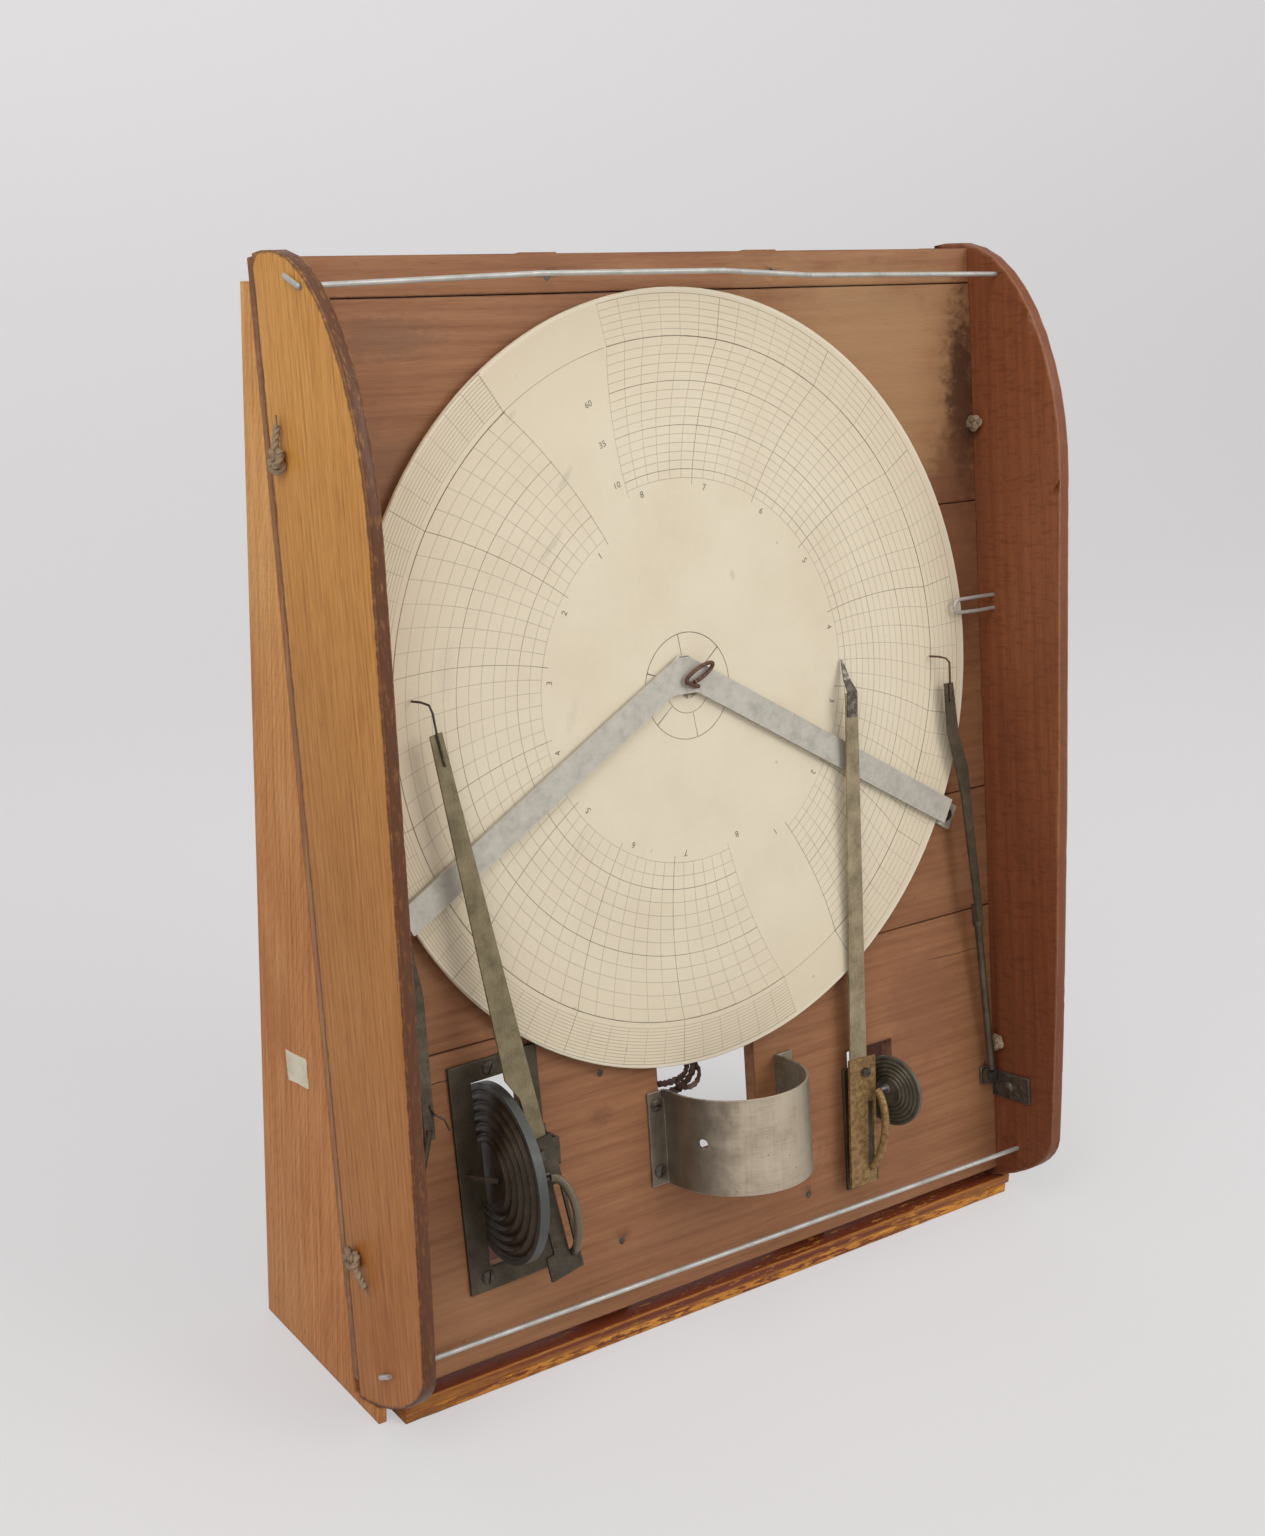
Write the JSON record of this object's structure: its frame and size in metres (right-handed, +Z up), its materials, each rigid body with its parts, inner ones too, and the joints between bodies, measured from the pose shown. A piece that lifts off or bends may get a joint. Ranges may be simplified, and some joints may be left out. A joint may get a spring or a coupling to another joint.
{
  "type": "recording weather instrument",
  "caption": "Leaning wooden board between two cheeks with a clock-turned circular chart, a bridge across it, capsule-driven pen arms and rim pens, on a wedge-shaped case.",
  "frame": {"origin": "middle of the bounding box on the floor under the base boards", "axes": "+X to the right as seen from the front, -Y towards the front where the chart faces, +Z up; the chart board leans back by 9.1 degrees"},
  "size_m": [0.3432, 0.1245, 0.4231],
  "materials": {
    "wood_light": "old varnish, worn matt, honey brown",
    "wood_dark": "old varnish, worn satin, red brown",
    "dark_steel": "darkened, lightly rusted",
    "steel": "bright, lightly tarnished",
    "wire": "dull tinned wire",
    "eye_copper": "rusted brown",
    "cord": "dirty twisted twine",
    "paper": "aged matt paper",
    "card": "aged matt card",
    "brass": "dull, tarnished",
    "aluminium": "satin, scratched",
    "lever_bronze": "dark patina",
    "arm_zinc": "dull grey olive",
    "capsule_bronze": "dark patina with a grey rim",
    "bulb_steel": "grey blue, dull",
    "tin": "tinned sheet, spotted",
    "leather": "dry and cracked"
  },
  "bodies": {
    "case": {"plank_bottom": "wood_light", "plank_lower": "wood_light", "plank_middle": "wood_light", "plank_upper": "wood_light", "plank_top": "wood_light", "battens": "wood_light", "left_cheek": "wood_light", "right_cheek": "wood_dark", "stiles": "wood_light", "left_side_panel": "wood_light", "right_side_panel": "wood_dark", "packing_strip": "wood_dark", "base_upper_board": "wood_dark", "base_lower_board": "wood_dark", "board_nails": "dark_steel", "wood_screws": "dark_steel", "top_wire": "wire", "bottom_wire": "wire", "cord_knots": "cord", "rim_staple": "wire", "paper_label": "paper", "bridge": "aluminium", "clock_case": "brass", "clock_lid": "brass", "movement_plates": "brass", "plate_pillars": "brass", "pressure_plate": "dark_steel", "pressure_capsule": "capsule_bronze", "capsule_stays": "dark_steel", "pressure_bracket": "dark_steel", "temperature_plate": "dark_steel", "temperature_capsule": "bulb_steel", "rim_brackets": "dark_steel", "holder_band": "tin", "leather_strip": "leather", "pivot_pins": "dark_steel"},
    "chart": {"chart_card": "card", "chart_sheet": "paper", "chart_hub": "brass", "centre_arbor": "steel"},
    "barrel": {"mainspring_barrel": "brass", "mainspring": "steel"},
    "winder": {"barrel_arbor": "steel", "winding_key": "brass"},
    "escape": {"escape_wheel": "brass"},
    "balance": {"balance_wheel": "brass"},
    "eye_pin": {"eye_pin": "eye_copper"},
    "pressure_lever": {"pressure_lever": "lever_bronze", "pressure_arm": "arm_zinc", "pressure_pen": "dark_steel"},
    "pressure_link": {"pressure_link": "steel"},
    "temperature_lever": {"temperature_lever": "brass", "temperature_arm": "arm_zinc", "temperature_pen": "steel"},
    "temperature_link": {"temperature_link": "steel"},
    "wind_lever": {"wind_lever": "dark_steel", "wind_pen": "dark_steel"},
    "humidity_lever": {"humidity_lever": "dark_steel", "humidity_pen": "dark_steel"}
  },
  "joints": [
    {"name": "chart_turn", "type": "hinge", "parent": "case", "child": "chart", "pos_m": [-0.006, 0.00632, 0.25722], "axis": [0, -0.9874, 0.1582], "continuous": true},
    {"name": "barrel_turn", "type": "hinge", "parent": "case", "child": "barrel", "pos_m": [-0.006, 0.01822, 0.23668], "axis": [0, -0.9874, 0.1582], "continuous": true},
    {"name": "escape_turn", "type": "hinge", "parent": "case", "child": "escape", "pos_m": [-0.006, 0.02844, 0.26887], "axis": [0, -0.9874, 0.1582], "continuous": true},
    {"name": "winding", "type": "hinge", "parent": "case", "child": "winder", "pos_m": [-0.006, 0.03303, 0.23431], "axis": [0, -0.9874, 0.1582], "continuous": true},
    {"name": "balance_swing", "type": "hinge", "parent": "case", "child": "balance", "pos_m": [0.005, 0.02559, 0.27641], "axis": [0, -0.9874, 0.1582], "range_deg": [-160, 160]},
    {"name": "eye_pin_pull", "type": "slide", "parent": "case", "child": "eye_pin", "axis": [0, -0.9874, 0.1582], "range_m": [0, 0.02]},
    {"name": "pressure_swing", "type": "hinge", "parent": "case", "child": "pressure_lever", "pos_m": [-0.1025, -0.0383, 0.09878], "axis": [0, -0.9874, 0.1582], "range_deg": [-12, 2]},
    {"name": "pressure_push", "type": "slide", "parent": "case", "child": "pressure_link", "axis": [1, 0, 0], "range_m": [-0.00188, 0.00031], "deforming": ["pressure_capsule"]},
    {"name": "temperature_swing", "type": "hinge", "parent": "case", "child": "temperature_lever", "pos_m": [0.0753, -0.02776, 0.08241], "axis": [0, -0.9874, 0.1582], "range_deg": [-6, 6]},
    {"name": "temperature_push", "type": "slide", "parent": "case", "child": "temperature_link", "axis": [1, 0, 0], "range_m": [-0.00094, 0.00094], "deforming": ["temperature_capsule"]},
    {"name": "wind_swing", "type": "hinge", "parent": "case", "child": "wind_lever", "pos_m": [0.1565, -0.02836, 0.05972], "axis": [0, -0.9874, 0.1582], "range_deg": [-3, 5]},
    {"name": "humidity_swing", "type": "hinge", "parent": "case", "child": "humidity_lever", "pos_m": [-0.1565, -0.02836, 0.05972], "axis": [0, -0.9874, 0.1582], "range_deg": [-5, 0.5]}
  ],
  "couplings": [
    {"joint": "barrel_turn", "follows": "chart_turn", "ratio": -0.4375},
    {"joint": "escape_turn", "follows": "chart_turn", "ratio": -4},
    {"joint": "pressure_push", "follows": "pressure_swing", "m_per_rad": 0.009},
    {"joint": "temperature_push", "follows": "temperature_swing", "m_per_rad": 0.009}
  ]
}
